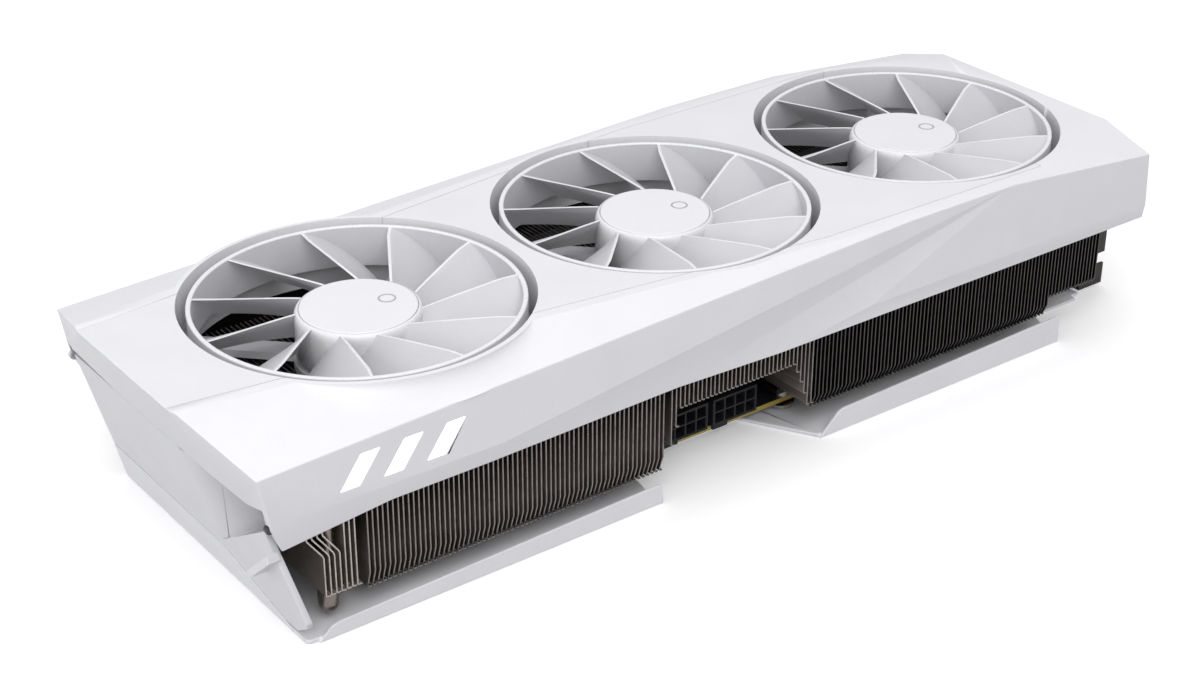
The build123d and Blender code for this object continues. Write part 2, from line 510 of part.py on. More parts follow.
# ------------------------------------------------------------ backplate
bp = prism_z([(-53.2, -54.3), (-51.7, -55.2), (66.5, -55.2), (69.6, -40.0), (73.0, -31.5), (117.5, -31.5), (131.6, -55.2), (240.0, -55.2), (244.3, -45.4),
              (247.0, -39.0), (268.3, -39.0), (268.3, -36.6), (272.5, -36.6), (272.5, 65.5), (64.0, 65.5), (54.0, 54.3), (-52.0, 54.3), (-53.2, 53.0)], BP_BOT, BP_TOP)
lip_l = prism_y([(-50.0, BP_BOT), (68.5, BP_BOT), (68.2, -61.2), (66.8, -60.6), (-43.5, -63.0), (-45.8, -63.6)], -56.2, -55.2)
lip_r = prism_y([(131.6, BP_BOT), (240.5, BP_BOT), (240.2, -58.4), (239.0, -57.5), (141.0, -59.6), (139.4, -60.3)], -56.2, -55.2)
tail_fl = prism_y([(-53.2, -67.4), (-56.2, -55.2), (-54.8, -55.2), (-51.8, -67.4)], -52.0, 54.3)
tail_fl = tail_fl & prism_x([(54.3, -67.4), (54.3, -55.2), (-14.7, -55.2), (-47.9, -67.4)], -60, -50)
bp = bp + lip_l + lip_r + tail_fl
for i in range(7):
    for j in range(2):
        x0, y0 = -34.0 + i * 13.0, -38.0 + j * 40.0
        bp = bp - prism_z([(x0, y0), (x0 + 5.0, y0), (x0 + 15.0, y0 + 32.0), (x0 + 10.0, y0 + 32.0)], -70, -60)
for x, y in HOLES:
    bp = bp - cyl(x, y, -70, -60, 1.7)
win = box(GPU_X - 17.5, GPU_X + 17.5, GPU_Y - 17.5, GPU_Y + 17.5, -70, -60)
win = chamfer(win.edges().filter_by(Axis.Z), 6.0)
bp = bp - win
parts["backplate"] = group([bp])
print("backplate solids", len(bp.solids()))

parts["standoffs"] = group([tube(x, y, BP_TOP, PCB_BOT, 2.9, 1.6) for x, y in HOLES])
parts["backplate_pads"] = group([box(GPU_X - 46, GPU_X - 32, -20, 30, BP_TOP, PCB_BOT), box(GPU_X + 32, GPU_X + 46, -20, 30, BP_TOP, PCB_BOT)])

# spring cross that pulls the cold plate onto the chip
cross = box(GPU_X - 6, GPU_X + 6, GPU_Y - 6, GPU_Y + 6, -65.4, -64.4)
for a in (45, 135, 225, 315):
    cross = cross + Pos(GPU_X, GPU_Y, 0) * Rot(0, 0, a) * box(0, 53.0, -3.4, 3.4, -65.4, -64.4)
for x, y in GPU_HOLES:
    cross = cross + cyl(x, y, -65.4, -64.4, 4.6) - cyl(x, y, -66, -63, 1.7)
cross = cross & box(GPU_X - 44, GPU_X + 44, GPU_Y - 44, GPU_Y + 44, -66, -64)
parts["spring_cross"] = group([cross])
parts["cross_screws"] = group([cyl(x, y, -66.0, -65.4, 2.7) + cyl(x, y, -65.4, -57.0, 1.5) for x, y in GPU_HOLES])
posts = [tube(x, y, PCB_TOP, -58.3, 3.0, 1.6) for x, y in GPU_HOLES]
parts["cross_posts"] = group(posts)
parts["backplate_screws"] = group([cyl(x, y, BP_BOT - 0.0, BP_TOP - 0.4, 1.6) + cyl(x, y, BP_TOP - 0.4, PCB_BOT + 1.2, 1.4) for x, y in HOLES])
parts["bracket_screws"] = group([cyl(x, y, -61.0, -59.4, 2.5) + cyl(x, y, PCB_TOP + 0.05, -61.0, 1.25) for x, y in ((269.0, 62.5), (269.0, -31.7))])

# screws: three on each fan base, and two that hold the tail frame to the shroud
fs = []
for x in FANS:
    for a in (60, 180, 300):
        s = cyl(15.0, 0, -22.0, -21.0, 1.9)
        fs.append(Pos(x, 0, 0) * Rot(0, 0, a) * s)
parts["fan_screws"] = group(fs)

# ------------------------------------------------------------ placing and writing
lo = [1e9] * 3
hi = [-1e9] * 3
for k, p in parts.items():
    bb = p.bounding_box()
    for i, (a, b) in enumerate(((bb.min.X, bb.max.X), (bb.min.Y, bb.max.Y), (bb.min.Z, bb.max.Z))):
        lo[i], hi[i] = min(lo[i], a), max(hi[i], b)
XC, YC, ZB = (lo[0] + hi[0]) / 2, (lo[1] + hi[1]) / 2, lo[2]
print("box", lo, hi, "shift", XC, YC, ZB)
os.makedirs("parts", exist_ok=True)
for k, p in parts.items():
    moved = Compound(children=[Pos(-XC, -YC, -ZB) * s for s in p.solids()])
    moved.label = k
    export_step(moved, "parts/" + k + ".step")
print(len(parts), "nodes")
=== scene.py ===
import json
import math
import random

import bmesh
import bpy
import numpy as np
from mathutils import Matrix, Vector


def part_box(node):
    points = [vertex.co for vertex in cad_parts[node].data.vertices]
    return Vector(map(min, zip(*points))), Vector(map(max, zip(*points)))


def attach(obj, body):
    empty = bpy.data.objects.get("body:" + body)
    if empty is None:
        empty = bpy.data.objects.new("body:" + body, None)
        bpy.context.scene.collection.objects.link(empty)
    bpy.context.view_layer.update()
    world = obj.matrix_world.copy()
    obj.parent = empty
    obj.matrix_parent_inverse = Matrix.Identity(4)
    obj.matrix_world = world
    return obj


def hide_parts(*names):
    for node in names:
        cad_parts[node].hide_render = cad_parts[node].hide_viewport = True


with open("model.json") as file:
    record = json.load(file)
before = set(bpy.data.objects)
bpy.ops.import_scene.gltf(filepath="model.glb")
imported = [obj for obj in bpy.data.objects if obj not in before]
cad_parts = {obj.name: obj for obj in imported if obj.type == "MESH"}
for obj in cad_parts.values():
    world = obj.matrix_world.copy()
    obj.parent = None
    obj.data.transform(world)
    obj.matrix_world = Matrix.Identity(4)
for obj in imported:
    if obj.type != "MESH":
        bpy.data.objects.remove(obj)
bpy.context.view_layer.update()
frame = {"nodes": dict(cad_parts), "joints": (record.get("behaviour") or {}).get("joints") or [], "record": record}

NODES = frame["nodes"]
AXES = {j["name"]: Vector(j["pos_m"]) for j in frame["joints"]}
RING_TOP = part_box("fan_rotor_tail")[1].z
# Millimetres about the tail fan's axis, with zero height at the top of its ring.
O = Vector((AXES["spin_tail"].x, AXES["spin_tail"].y, RING_TOP))
FAN_X = [(AXES["spin_" + n].x - O.x) * 1000 for n in ("tail", "middle", "bracket")]
FAN_NAMES = ["tail", "middle", "bracket"]
COLLAR_R = 53.2
PHASES = [13.5, 17.0, 16.6]
RND = random.Random(7)


def P(x, y, z):
    return Vector((O.x + x * 0.001, O.y + y * 0.001, O.z + z * 0.001))


# ------------------------------------------------------------------ camera
R = [(0.79949, -0.60067, 0.00276), (-0.28378, -0.38174, -0.87962), (0.52942, 0.70247, -0.47566)]
cx, cy, cz = Vector(R[0]), -Vector(R[1]), -Vector(R[2])
loc = Vector((-0.38158, -0.49494, 0.34866))
cam_data = bpy.data.cameras.new("view")
cam_data.lens = 64.60
cam_data.sensor_width = 36.0
cam_data.clip_start = 0.01
cam = bpy.data.objects.new("view", cam_data)
cam.matrix_world = Matrix(((cx.x, cy.x, cz.x, loc.x), (cx.y, cy.y, cz.y, loc.y), (cx.z, cy.z, cz.z, loc.z), (0, 0, 0, 1)))
bpy.context.scene.collection.objects.link(cam)
bpy.context.scene.camera = cam
bpy.context.scene.view_settings.view_transform = "Standard"
bpy.context.scene.view_settings.look = "None"


# --------------------------------------------------------------- materials
def new_mat(name):
    m = bpy.data.materials.new(name)
    m.use_nodes = True
    nt = m.node_tree
    for n in list(nt.nodes):
        nt.nodes.remove(n)
    out = nt.nodes.new("ShaderNodeOutputMaterial")
    b = nt.nodes.new("ShaderNodeBsdfPrincipled")
    nt.links.new(b.outputs["BSDF"], out.inputs["Surface"])
    return m, nt, b


def node(nt, kind, **sets):
    n = nt.nodes.new(kind)
    for k, v in sets.items():
        if k in n.inputs.keys():
            n.inputs[k].default_value = v
        else:
            setattr(n, k, v)
    return n


def coords(nt, scale=(1, 1, 1)):
    tc = nt.nodes.new("ShaderNodeTexCoord")
    mp = nt.nodes.new("ShaderNodeMapping")
    mp.inputs["Scale"].default_value = scale
    nt.links.new(tc.outputs["Object"], mp.inputs["Vector"])
    return mp.outputs["Vector"]


def noise(nt, vec, scale, detail=3.0, rough=0.5):
    n = nt.nodes.new("ShaderNodeTexNoise")
    n.inputs["Scale"].default_value = scale
    n.inputs["Detail"].default_value = detail
    n.inputs["Roughness"].default_value = rough
    nt.links.new(vec, n.inputs["Vector"])
    return n.outputs["Fac"]


def maprange(nt, fac, lo, hi, a=0.3, b=0.7):
    m = nt.nodes.new("ShaderNodeMapRange")
    m.inputs["From Min"].default_value = a
    m.inputs["From Max"].default_value = b
    m.inputs["To Min"].default_value = lo
    m.inputs["To Max"].default_value = hi
    nt.links.new(fac, m.inputs["Value"])
    return m.outputs["Result"]


def mixcol(nt, fac, c1, c2):
    m = nt.nodes.new("ShaderNodeMix")
    m.data_type = "RGBA"
    if fac is not None:
        nt.links.new(fac, m.inputs[0])
    for i, c in ((6, c1), (7, c2)):
        if isinstance(c, (tuple, list)):
            m.inputs[i].default_value = (c[0], c[1], c[2], 1)
        else:
            nt.links.new(c, m.inputs[i])
    return m.outputs[2]


def bump(nt, fac, strength, dist, prev=None):
    b = nt.nodes.new("ShaderNodeBump")
    b.inputs["Strength"].default_value = strength
    b.inputs["Distance"].default_value = dist
    nt.links.new(fac, b.inputs["Height"])
    if prev is not None:
        nt.links.new(prev, b.inputs["Normal"])
    return b.outputs["Normal"]


def surface(name, dark, light, rough, metal=0.0, spec=0.5, tone_scale=60.0, grain_scale=4200.0,
            grain=0.12, grain_depth=0.00003, stretch=(1, 1, 1), rough_var=0.05, painted_glow=0.0):
    """A moulded, painted or metal surface: slow tone drift, fine grain in the
    height, and a gloss that changes a little with both."""
    m, nt, b = new_mat(name)
    vec = coords(nt)
    slow = noise(nt, vec, tone_scale, 4.0)
    vec2 = coords(nt, stretch)
    fine = noise(nt, vec2, grain_scale, 2.0)
    mid = noise(nt, vec2, grain_scale * 0.22, 3.0)
    mixf = nt.nodes.new("ShaderNodeMath")
    mixf.operation = "ADD"
    s1 = maprange(nt, slow, 0.0, 0.65)
    s2 = maprange(nt, mid, 0.0, 0.35)
    nt.links.new(s1, mixf.inputs[0])
    nt.links.new(s2, mixf.inputs[1])
    nt.links.new(mixcol(nt, mixf.outputs[0], dark, light), b.inputs["Base Color"])
    nt.links.new(maprange(nt, mid, rough - rough_var, rough + rough_var), b.inputs["Roughness"])
    nt.links.new(bump(nt, fine, grain, grain_depth), b.inputs["Normal"])
    b.inputs["Metallic"].default_value = metal
    b.inputs["Specular IOR Level"].default_value = spec
    if painted_glow:      # painted glow: emission that lifts the plastic out of its shade; it is no lamp
        nt.links.new(mixcol(nt, s1, dark, light), b.inputs["Emission Color"])
        b.inputs["Emission Strength"].default_value = painted_glow
    return m


M = {}
M["shell"] = surface("white_shell", (0.765, 0.765, 0.79), (0.80, 0.80, 0.82), 0.42, spec=0.42)
M["panel"] = surface("white_panel", (0.755, 0.755, 0.78), (0.79, 0.79, 0.81), 0.40, spec=0.42)
M["frame"] = surface("white_tail_frame", (0.76, 0.76, 0.785), (0.80, 0.80, 0.82), 0.45, spec=0.4)
# fan plastic in two painted copies: the blades darker than the shell's white as painted shade in the fan wells, with a
# painted glow, and the edges lighter as a painted highlight
M["fan"] = surface("white_fan_blades_shaded", (0.53, 0.53, 0.555), (0.57, 0.57, 0.59), 0.36, spec=0.45, painted_glow=0.07)
M["fan_edge_highlight"] = surface("white_fan_edges_highlight", (0.78, 0.78, 0.80), (0.82, 0.82, 0.835), 0.30, spec=0.5)
M["cap"] = surface("white_hub_disc", (0.79, 0.79, 0.81), (0.82, 0.82, 0.84), 0.33, spec=0.45)
# the fan base also carries a small painted glow; it is no lamp
M["base"] = surface("grey_white_fan_base", (0.52, 0.52, 0.54), (0.58, 0.58, 0.60), 0.5, spec=0.35, painted_glow=0.03)
M["coated"] = surface("white_coated_sheet", (0.78, 0.78, 0.81), (0.83, 0.83, 0.855), 0.34, spec=0.5, metal=0.0,
                      grain_scale=2600, grain=0.2, grain_depth=0.00004)
M["mark"] = surface("grey_print", (0.42, 0.42, 0.44), (0.47, 0.47, 0.49), 0.4)
M["fin"] = surface("black_nickel_fin", (0.060, 0.050, 0.045), (0.125, 0.105, 0.094), 0.34, metal=0.85, spec=0.5,
                   tone_scale=120, grain_scale=1400, stretch=(1, 1, 0.12), grain=0.25, grain_depth=0.00004, rough_var=0.10)
# a lighter copy of the fin nickel for the fins' edges: a painted highlight
M["fin_edge_highlight"] = surface("nickel_fin_edge_highlight", (0.15, 0.132, 0.123), (0.27, 0.245, 0.23), 0.32, metal=0.9, spec=0.5,
                        tone_scale=400, grain_scale=3000, grain=0.2, grain_depth=0.00003, rough_var=0.08)
def fin_material():
    """Nickelled fin with painted light over its height: painted shade makes it near black under the shroud, and a
    painted sheen makes it browner and brighter lower down.
    """
    m, nt, b = new_mat("black_nickel_fin")
    vec = coords(nt)
    sep = nt.nodes.new("ShaderNodeSeparateXYZ")
    nt.links.new(vec, sep.inputs[0])
    # painted shade and sheen by height: near black at the top, brightest about a third of the way up
    painted_light_ramp = nt.nodes.new("ShaderNodeValToRGB")
    z_lo, z_hi = O.z - 0.0585, O.z - 0.0222
    nt.links.new(maprange(nt, sep.outputs["Z"], 0.0, 1.0, z_lo, z_hi), painted_light_ramp.inputs["Fac"])
    els = painted_light_ramp.color_ramp.elements
    els[0].position, els[0].color = 0.0, (0.10, 0.085, 0.075, 1)
    els[1].position, els[1].color = 1.0, (0.016, 0.013, 0.012, 1)
    for pos, col in ((0.16, (0.15, 0.125, 0.112, 1)), (0.30, (0.30, 0.255, 0.235, 1)), (0.55, (0.17, 0.145, 0.132, 1)), (0.80, (0.045, 0.037, 0.034, 1))):
        el = els.new(pos)
        el.color = col
    fine = noise(nt, coords(nt, (1, 1, 0.12)), 1400, 3.0)
    slow = noise(nt, vec, 90, 3.0)
    nt.links.new(mixcol(nt, maprange(nt, slow, 0.0, 0.35), painted_light_ramp.outputs["Color"], (0.05, 0.042, 0.038)), b.inputs["Base Color"])
    nt.links.new(maprange(nt, fine, 0.28, 0.46), b.inputs["Roughness"])
    nt.links.new(bump(nt, fine, 0.25, 0.00004), b.inputs["Normal"])
    b.inputs["Metallic"].default_value = 0.6
    return m


M["fin"] = fin_material()
# darker copies of the fin nickel for the board and bracket stacks, faces and edges: painted shade
M["fin_shaded"] = surface("shaded_nickel_fin", (0.009, 0.008, 0.008), (0.022, 0.018, 0.017), 0.38, metal=0.8, spec=0.4,
                        tone_scale=120, grain_scale=1400, stretch=(1, 1, 0.12), grain=0.25, grain_depth=0.00004, rough_var=0.10)
M["fin_edge_shaded"] = surface("shaded_nickel_fin_edge", (0.048, 0.045, 0.044), (0.086, 0.080, 0.077), 0.36, metal=0.85, spec=0.4,
                             tone_scale=400, grain_scale=3000, grain=0.2, grain_depth=0.00003, rough_var=0.08)
# lighter, less metallic copies of the fin nickel for the cranked fins' faces and edges: painted light
M["fin_side_lit"] = surface("lit_brown_nickel_side", (0.17, 0.14, 0.12), (0.27, 0.23, 0.20), 0.40, metal=0.35, spec=0.5,
                        tone_scale=160, grain_scale=1200, grain=0.25, grain_depth=0.00004, rough_var=0.08)
M["cranked_fin_edge_lit"] = surface("lit_nickel_cranked_edge", (0.30, 0.275, 0.255), (0.46, 0.43, 0.405), 0.30, metal=0.9, spec=0.5,
                        tone_scale=400, grain_scale=3000, grain=0.2, grain_depth=0.00003, rough_var=0.08)
M["pipe"] = surface("nickel_pipe", (0.17, 0.145, 0.13), (0.25, 0.22, 0.20), 0.28, metal=0.95, tone_scale=90, stretch=(0.15, 1, 1),
                    grain_scale=1500, grain=0.12, grain_depth=0.00003)
M["nickel"] = surface("plate_nickel", (0.55, 0.52, 0.49), (0.66, 0.63, 0.60), 0.22, metal=1.0, stretch=(0.1, 1, 1), grain_scale=2500)
M["bracket"] = surface("black_nickel_bracket", (0.026, 0.022, 0.020), (0.050, 0.043, 0.039), 0.36, metal=0.8, stretch=(1, 0.12, 1),
                       grain_scale=2200, grain=0.18)
M["steel"] = surface("steel", (0.36, 0.36, 0.37), (0.48, 0.48, 0.49), 0.3, metal=1.0, grain_scale=1800)
M["screw"] = surface("black_screw", (0.035, 0.034, 0.034), (0.065, 0.062, 0.06), 0.38, metal=0.7, grain_scale=2600)
M["gold"] = surface("gold_plate", (0.72, 0.50, 0.17), (0.86, 0.64, 0.25), 0.25, metal=1.0, grain_scale=3000)
M["bronze"] = surface("bronze", (0.40, 0.25, 0.11), (0.52, 0.34, 0.16), 0.35, metal=0.9)
M["can"] = surface("tin_can", (0.50, 0.50, 0.51), (0.62, 0.62, 0.63), 0.27, metal=1.0, stretch=(1, 1, 0.1), grain_scale=1800)
M["pad"] = surface("silicone_pad", (0.30, 0.33, 0.37), (0.36, 0.39, 0.43), 0.75, spec=0.25, grain_scale=1500, grain=0.5, grain_depth=0.00006)
M["nylon"] = surface("black_nylon", (0.012, 0.012, 0.015), (0.022, 0.022, 0.026), 0.55, spec=0.22, grain_scale=2600, grain=0.25)
M["chip"] = surface("black_epoxy", (0.018, 0.018, 0.019), (0.032, 0.032, 0.034), 0.5, spec=0.4, grain_scale=1800, grain=0.4)
M["die"] = surface("silicon", (0.20, 0.21, 0.26), (0.27, 0.28, 0.34), 0.12, metal=0.9, grain=0.02)


def frame_material():
    """The tail moulding, with painted shade: its white is multiplied towards grey the deeper it lies behind the tail
    panel's plane, down in the pocket.
    """
    m = surface("white_tail_frame", (0.76, 0.76, 0.785), (0.80, 0.80, 0.82), 0.45, spec=0.4)
    nt = m.node_tree
    b = [n for n in nt.nodes if n.type == "BSDF_PRINCIPLED"][0]
    link = b.inputs["Base Color"].links[0]
    tone = link.from_socket
    nt.links.remove(link)
    # painted shade: the deeper behind the tail panel's plane, the greyer the white
    dot = nt.nodes.new("ShaderNodeVectorMath")
    dot.operation = "DOT_PRODUCT"
    nt.links.new(coords(nt), dot.inputs[0])
    dot.inputs[1].default_value = (1.0, 0.0, 0.26862)
    base = O.x + 0.26862 * O.z - 0.070875
    pocket_shade = maprange(nt, dot.outputs["Value"], 0.0, 1.0, base + 0.0004, base + 0.0070)
    mul = nt.nodes.new("ShaderNodeMixRGB")
    mul.blend_type = "MULTIPLY"
    nt.links.new(pocket_shade, mul.inputs[0])
    nt.links.new(tone, mul.inputs[1])
    mul.inputs[2].default_value = (0.48, 0.48, 0.495, 1)
    nt.links.new(mul.outputs[0], b.inputs["Base Color"])
    return m


M["frame"] = frame_material()


def tail_screw_material():
    """Black head on the near side, painted over on the far side."""
    m = surface("tail_screw", (0.035, 0.034, 0.034), (0.065, 0.062, 0.06), 0.38, metal=0.2, grain_scale=2600)
    nt = m.node_tree
    b = [n for n in nt.nodes if n.type == "BSDF_PRINCIPLED"][0]
    link = b.inputs["Base Color"].links[0]
    tone = link.from_socket
    nt.links.remove(link)
    sep = nt.nodes.new("ShaderNodeSeparateXYZ")
    nt.links.new(coords(nt), sep.inputs[0])
    side = maprange(nt, sep.outputs["Y"], 0.0, 1.0, O.y - 0.01, O.y + 0.01)
    mix = nt.nodes.new("ShaderNodeMixRGB")
    nt.links.new(side, mix.inputs[0])
    nt.links.new(tone, mix.inputs[1])
    mix.inputs[2].default_value = (0.74, 0.74, 0.76, 1)
    nt.links.new(mix.outputs[0], b.inputs["Base Color"])
    return m


M["tail_screw"] = tail_screw_material()


def board_material():
    """Black solder mask with faint copper lanes under it, olive glass-fibre edge."""
    m, nt, b = new_mat("board")
    vec = coords(nt)
    geo = nt.nodes.new("ShaderNodeNewGeometry")
    sep = nt.nodes.new("ShaderNodeSeparateXYZ")
    nt.links.new(geo.outputs["Normal"], sep.inputs[0])
    ab = nt.nodes.new("ShaderNodeMath")
    ab.operation = "ABSOLUTE"
    nt.links.new(sep.outputs["Z"], ab.inputs[0])
    face = maprange(nt, ab.outputs[0], 0.0, 1.0, 0.4, 0.6)
    lanes = nt.nodes.new("ShaderNodeTexBrick")
    lanes.inputs["Scale"].default_value = 1.0
    lanes.inputs["Mortar Size"].default_value = 0.00018
    lanes.inputs["Brick Width"].default_value = 0.014
    lanes.inputs["Row Height"].default_value = 0.0011
    lanes.inputs["Color1"].default_value = (0.012, 0.013, 0.016, 1)
    lanes.inputs["Color2"].default_value = (0.018, 0.020, 0.024, 1)
    lanes.inputs["Mortar"].default_value = (0.035, 0.036, 0.040, 1)
    nt.links.new(vec, lanes.inputs["Vector"])
    fib = noise(nt, coords(nt, (0.3, 0.3, 4.0)), 2200, 3.0)
    edge = mixcol(nt, maprange(nt, fib, 0, 1), (0.33, 0.245, 0.035), (0.52, 0.40, 0.085))
    nt.links.new(mixcol(nt, face, edge, lanes.outputs["Color"]), b.inputs["Base Color"])
    nt.links.new(bump(nt, lanes.outputs["Fac"], 0.3, 0.00004), b.inputs["Normal"])
    nt.links.new(maprange(nt, noise(nt, vec, 900), 0.32, 0.45), b.inputs["Roughness"])
    return m


M["board"] = board_material()


def lens_material():
    """Frosted lens lit from behind, its brightness drifting a little across it."""
    m, nt, b = new_mat("lit_lens")
    vec = coords(nt)
    f = noise(nt, vec, 900, 2.0)
    nt.links.new(mixcol(nt, maprange(nt, f, 0, 1), (0.93, 0.95, 1.0), (1.0, 1.0, 1.0)), b.inputs["Base Color"])
    nt.links.new(mixcol(nt, maprange(nt, f, 0, 1), (0.96, 0.97, 1.0), (1.0, 1.0, 1.0)), b.inputs["Emission Color"])
    nt.links.new(maprange(nt, noise(nt, vec, 120, 2.0), 1.25, 1.45), b.inputs["Emission Strength"])
    b.inputs["Roughness"].default_value = 0.5
    nt.links.new(bump(nt, noise(nt, vec, 5000, 2.0), 0.2, 0.00003), b.inputs["Normal"])
    return m


M["lens"] = lens_material()

BY_SLOT = {"white_moulding": "shell", "white_fan": "fan", "lit_lens": "lens", "white_metal": "coated", "black_nickel": "fin",
           "nickel_copper": "nickel", "board_black": "chip", "gold": "gold", "black_plastic": "nylon", "silicon": "die",
           "pad": "pad", "can": "can", "steel": "steel", "black_screw": "screw", "bronze": "bronze"}
BY_NODE = {"tail_screws": "tail_screw", "centre_panel": "panel", "tail_frame": "frame", "circuit_board": "board", "heat_pipes": "pipe", "io_bracket": "bracket",
           "heatsink_frame": "bracket", "light_board": "board", "fan_base_tail": "base", "fan_base_middle": "base",
           "fan_base_bracket": "base", "hub_cap_tail": "cap", "hub_cap_middle": "cap", "hub_cap_bracket": "cap"}
SLOT_OF = {s["node"]: s["material_slot"] for s in frame["record"]["subparts"]}
for n, o in NODES.items():
    o.data.materials.clear()
    o.data.materials.append(M[BY_NODE.get(n, BY_SLOT[SLOT_OF[n]])])


# ------------------------------------------------------------ mesh helpers
def add_object(name, verts, faces, mats, face_mats=None, smooth=True, sharp=35.0):
    me = bpy.data.meshes.new(name)
    me.from_pydata([tuple(v) for v in verts], [], faces)
    for k in mats:
        me.materials.append(M[k])
    if face_mats is not None:
        me.polygons.foreach_set("material_index", face_mats)
    me.validate()
    ob = bpy.data.objects.new(name, me)
    bpy.context.scene.collection.objects.link(ob)
    finish_mesh(ob, smooth, sharp)
    return ob


def finish_mesh(ob, smooth=True, sharp=35.0):
    me = ob.data
    bm = bmesh.new()
    bm.from_mesh(me)
    bmesh.ops.recalc_face_normals(bm, faces=bm.faces)
    bm.to_mesh(me)
    bm.free()
    if smooth:
        me.polygons.foreach_set("use_smooth", [True] * len(me.polygons))
        me.set_sharp_from_angle(angle=math.radians(sharp))
    me.update()


def apply_mods(ob):
    dg = bpy.context.evaluated_depsgraph_get()
    dg.update()
    me = bpy.data.meshes.new_from_object(ob.evaluated_get(dg))
    ob.modifiers.clear()
    old = ob.data
    ob.data = me
    bpy.data.meshes.remove(old)


def place(ob, body, slot, *nodes):
    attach(ob, body)
    if nodes:
        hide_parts(*nodes)
    return ob


def bevel_copy(nodename, width, mat, body="card", segs=2, angle=28.0, crease=None, name=None, flat=0.5, clamp=True, skip=None):
    """The CAD shape with its planar faces made whole again and every hard edge
    rounded; crease keeps long shallow edges above that angle crisp."""
    src = NODES[nodename]
    me = src.data.copy()
    me.materials.clear()
    me.materials.append(M[mat])
    ob = bpy.data.objects.new(name or nodename + "_finished", me)
    bpy.context.scene.collection.objects.link(ob)
    bm = bmesh.new()
    bm.from_mesh(me)
    bmesh.ops.remove_doubles(bm, verts=bm.verts, dist=2e-6)
    if flat:
        bmesh.ops.dissolve_limit(bm, angle_limit=math.radians(flat), verts=bm.verts, edges=bm.edges, use_dissolve_boundaries=False)
    bmesh.ops.recalc_face_normals(bm, faces=bm.faces)
    layer = bm.edges.layers.float.new("bevel_weight_edge")
    for e in bm.edges:
        if len(e.link_faces) != 2:
            continue
        a = math.degrees(e.calc_face_angle(0.0))
        if skip and any(skip(v.co) for v in e.verts):
            e.smooth = a < 12.0
        elif a > angle:
            e[layer] = 1.0
        elif crease and a > crease and e.calc_length() > 0.012:
            e.smooth = False
        elif a > 12.0:
            e.smooth = False
    bm.to_mesh(me)
    bm.free()
    mod = ob.modifiers.new("round", "BEVEL")
    mod.width = width * 0.001
    mod.segments = segs
    mod.limit_method = "WEIGHT"
    mod.miter_outer = "MITER_ARC"
    mod.use_clamp_overlap = clamp
    wn = ob.modifiers.new("flat", "WEIGHTED_NORMAL")
    wn.keep_sharp = True
    wn.weight = 90
    me.polygons.foreach_set("use_smooth", [True] * len(me.polygons))
    apply_mods(ob)
    lo = [min(v.co[i] for v in src.data.vertices) for i in range(3)]
    hi = [max(v.co[i] for v in src.data.vertices) for i in range(3)]
    for v in ob.data.vertices:
        v.co = [min(max(v.co[i], lo[i]), hi[i]) for i in range(3)]
    place(ob, body, SLOT_OF[nodename], nodename)
    return ob


def flush_collar(co):
    """Where a collar dies into the slope it stands on, at the ends of its proud arcs."""
    x, y, z = (co.x - O.x) * 1000, (co.y - O.y) * 1000, (co.z - O.z) * 1000
    return z > -6.0 and abs(y) > 20.0 and any(-4.0 < math.hypot(x - f, y) - COLLAR_R < 5.0 for f in FAN_X)


def lathe(profile, seg, closed=True):
    """Faces and vertices of a profile (r, z) turned about Z; r = 0 points become one vertex."""
    verts, rows = [], []
    for r, z in profile:
        if r < 1e-9:
            verts.append((0.0, 0.0, z))
            rows.append([len(verts) - 1] * seg)
        else:
            rows.append(list(range(len(verts), len(verts) + seg)))
            for i in range(seg):
                a = 2 * math.pi * i / seg
                verts.append((r * math.cos(a), r * math.sin(a), z))
    faces = []
    n = len(profile)
    for k in range(n if closed else n - 1):
        a, b = rows[k], rows[(k + 1) % n]
        if a[0] == a[1] and b[0] == b[1]:
            continue
        for i in range(seg):
            j = (i + 1) % seg
            q = [a[i], a[j], b[j], b[i]]
            q = [v for k2, v in enumerate(q) if v not in q[:k2]]
            if len(q) > 2:
                faces.append(q)
    return verts, faces


# ------------------------------------------------------------------- fans
def blade_rows(nr=26, nt=16):
    """Upper surface of one blade: straight swept upper edge with a kink near
    the ring, falling clockwise to a lower edge well under the next blade."""
    def pol(r, deg):
        a = math.radians(deg)
        return Vector((r * math.cos(a), r * math.sin(a)))
    hub, kink, tip = pol(18.3, -20.2), pol(42.2, -0.7), pol(47.9, 0.2)
    out = []
    for i in range(nr):
        u = i / (nr - 1)
        r = 18.3 + (47.7 - 18.3) * u
        # upper edge: point of the broken line at this radius
        if r <= 42.2:
            lo, hi = 0.0, 1.0
            for _ in range(40):
                m = (lo + hi) / 2
                if (hub + (kink - hub) * m).length < r:
                    lo = m
                else:
                    hi = m
            e = hub + (kink - hub) * lo
            zu = -3.5 + (-0.75 + 3.5) * lo ** 0.9
        else:
            t = (r - 42.2) / (47.9 - 42.2)
            e = kink + (tip - kink) * t
            zu = -0.75 + 0.35 * t
        au = math.degrees(math.atan2(e.y, e.x))
        w = (r - 18.3) / (47.7 - 18.3)
        al = -49.0 + (49.0 - 21.4) * w ** 0.75          # lower edge
        zl = -14.7 + 1.2 * w
        am = au + (al - au) * (0.50 + 0.02 * w)          # middle
        zm = zu + (zl - zu) * (0.50 - 0.12 * w)
        row = []
        for k in range(nt):
            t = k / (nt - 1)
            b0, b1, b2 = (1 - t) ** 2, 2 * t * (1 - t), t * t
            # quadratic through the three angles and heights
            ca = 2 * am - (au + al) / 2
            cz_ = 2 * zm - (zu + zl) / 2
            a = b0 * au + b1 * ca + b2 * al
            z = b0 * zu + b1 * cz_ + b2 * zl
            p = pol(r, a)
            row.append(Vector((p.x, p.y, z)))
        out.append(row)
    return out


